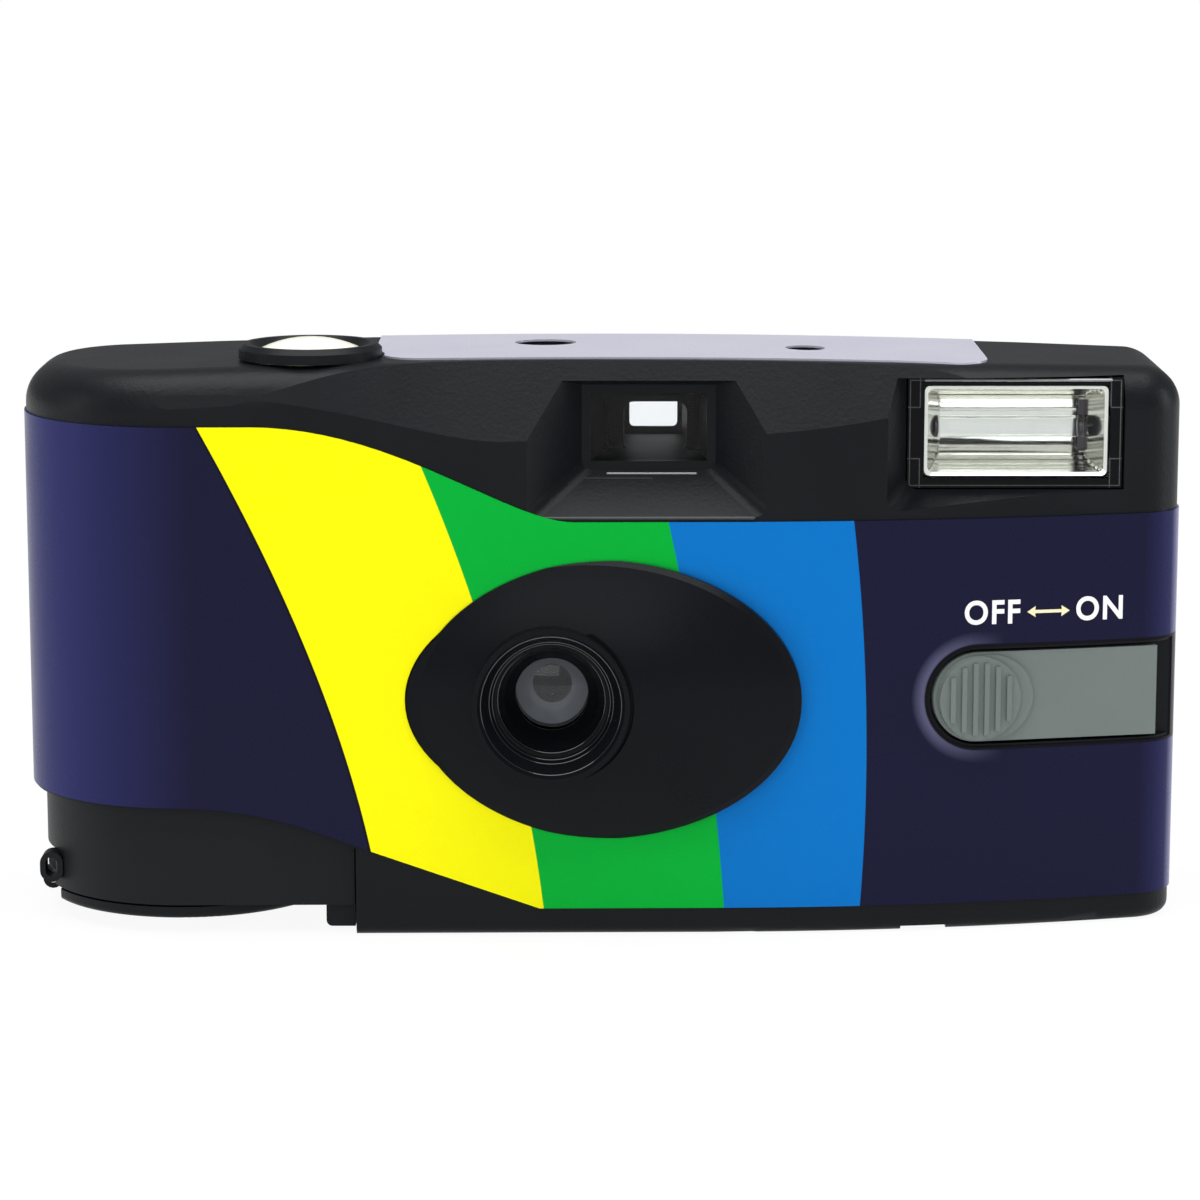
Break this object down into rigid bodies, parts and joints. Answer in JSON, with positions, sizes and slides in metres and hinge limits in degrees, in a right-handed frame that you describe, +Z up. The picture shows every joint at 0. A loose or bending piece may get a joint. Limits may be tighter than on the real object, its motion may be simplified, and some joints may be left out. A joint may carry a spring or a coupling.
{
  "type": "disposable film camera",
  "caption": "Flat single-use film camera with a round left grip, oval domed lens panel, recessed viewfinder, built-in flash with a slide switch, and a film advance wheel.",
  "frame": {"origin": "on the standing surface, under the centre of the camera's bounding box", "axes": "+X to the right as seen from the front, +Y from the front (lens) to the back, +Z up"},
  "size_m": [0.116, 0.034, 0.0587],
  "materials": {
    "black_plastic": "fine grained, satin",
    "panel_plastic": "smooth, glossy",
    "label_print": "glossy printed label in navy, yellow, green and blue",
    "label_silver": "glossy silver printed label",
    "button_cream": "smooth, cream white",
    "switch_grey": "satin grey",
    "clear_plastic": "clear moulded plastic",
    "lens_clear": "clear moulded plastic lens",
    "inner_black": "matt black",
    "mechanism_plastic": "natural white",
    "bright_metal": "bright",
    "steel": "plain",
    "cassette_metal": "painted sheet",
    "film_base": "smooth film",
    "felt": "black plush",
    "tube_glass": "clear",
    "circuit_board": "solder resist",
    "capacitor_sleeve": "shrink sleeve",
    "coil_tape": "wrapped tape",
    "brass": "plain",
    "battery_sleeve": "plain printed sleeve",
    "lamp_orange": "clear tinted"
  },
  "bodies": {
    "body": {"front_cover": "black_plastic", "rear_cover": "black_plastic", "chassis": "black_plastic", "light_cone": "inner_black", "lens_panel": "panel_plastic", "front_label": "label_print", "top_label": "label_silver", "film_door_pin": "steel", "battery_door_pin": "steel", "button_collar": "black_plastic", "taking_lens": "lens_clear", "lens_retainer": "inner_black", "aperture_plate": "inner_black", "blade_spring": "steel", "striker_spring": "steel", "metering_spring": "steel", "ratchet_pawl": "mechanism_plastic", "counter_window": "clear_plastic", "lamp_window": "clear_plastic", "viewfinder_housing": "inner_black", "viewfinder_front_lens": "clear_plastic", "viewfinder_rear_lens": "clear_plastic", "cassette_shell": "cassette_metal", "cassette_caps": "cassette_metal", "light_trap_felt": "felt", "film_strip": "film_base", "flash_cover": "clear_plastic", "flash_reflector": "bright_metal", "flash_tube": "tube_glass", "flash_electrodes": "steel", "flash_board": "circuit_board", "flash_capacitor": "capacitor_sleeve", "flash_transformer": "coil_tape", "trigger_coil": "coil_tape", "ready_lamp": "lamp_orange", "sync_contact": "brass", "switch_contact": "brass", "battery": "battery_sleeve", "battery_contacts": "steel"},
    "button": {"shutter_button": "button_cream"},
    "metering": {"metering_lever": "mechanism_plastic"},
    "striker": {"striker_lever": "mechanism_plastic"},
    "blade": {"shutter_blade": "steel"},
    "advance_wheel": {"thumbwheel": "black_plastic", "cassette_spool": "inner_black"},
    "sprocket_and_cam": {"film_sprocket": "mechanism_plastic", "shutter_cam": "mechanism_plastic"},
    "counter": {"counter_disc": "mechanism_plastic"},
    "supply": {"supply_spool": "inner_black", "film_roll": "film_base"},
    "flash_slider": {"flash_switch": "switch_grey"},
    "film_chamber_door": {"film_door": "black_plastic"},
    "battery_chamber_door": {"battery_door": "black_plastic"}
  },
  "joints": [
    {"name": "button_press", "type": "slide", "parent": "body", "child": "button", "axis": [0, 0, -1], "range_m": [0, 0.001], "stiffness_N_per_m": 400, "springref_m": -0.001},
    {"name": "metering_lever_swing", "type": "hinge", "parent": "body", "child": "metering", "pos_m": [-0.0216, -0.0016, 0.0485], "axis": [0, 0, -1], "range_deg": [0, 7.6]},
    {"name": "striker_swing", "type": "hinge", "parent": "body", "child": "striker", "pos_m": [-0.0116, 0.0015, 0.0485], "axis": [0, 0, -1], "range_deg": [0, 26], "stiffness_Nm_per_rad": 0.004, "springref_deg": -11.46},
    {"name": "blade_swing", "type": "hinge", "parent": "body", "child": "blade", "pos_m": [-0.0132, -0.00515, 0.031], "axis": [0, -1, 0], "range_deg": [0, 29]},
    {"name": "wheel_turn", "type": "hinge", "parent": "body", "child": "advance_wheel", "pos_m": [-0.0418, 0.003, 0.051], "axis": [0, 0, 1], "continuous": true},
    {"name": "sprocket_turn", "type": "hinge", "parent": "body", "child": "sprocket_and_cam", "pos_m": [-0.021, 0.00705, 0.045], "axis": [0, 0, 1], "continuous": true},
    {"name": "counter_turn", "type": "hinge", "parent": "body", "child": "counter", "pos_m": [-0.01539, 0.0041, 0.0538], "axis": [0, 0, 1], "continuous": true},
    {"name": "supply_turn", "type": "hinge", "parent": "body", "child": "supply", "pos_m": [0.0245, 0.005, 0.0241], "axis": [0, 0, 1], "continuous": true},
    {"name": "flash_switch_slide", "type": "slide", "parent": "body", "child": "flash_slider", "axis": [0.9803, 0.1976, 0], "range_m": [0, 0.006]},
    {"name": "film_door_swing", "type": "hinge", "parent": "body", "child": "film_chamber_door", "pos_m": [-0.0558, 0.003, 0.003], "axis": [0, 1, 0], "range_deg": [0, 95]},
    {"name": "battery_door_swing", "type": "hinge", "parent": "body", "child": "battery_chamber_door", "pos_m": [0.0452, 0.0089, 0.0016], "axis": [0, 1, 0], "range_deg": [0, 90]}
  ],
  "couplings": [
    {"joint": "metering_lever_swing", "follows": "button_press", "rad_per_m": 130},
    {"joint": "blade_swing", "follows": "striker_swing", "ratio": 1.1},
    {"joint": "sprocket_turn", "follows": "wheel_turn", "ratio": 0.9},
    {"joint": "counter_turn", "follows": "wheel_turn", "ratio": -0.025},
    {"joint": "supply_turn", "follows": "wheel_turn", "ratio": 0.69}
  ]
}
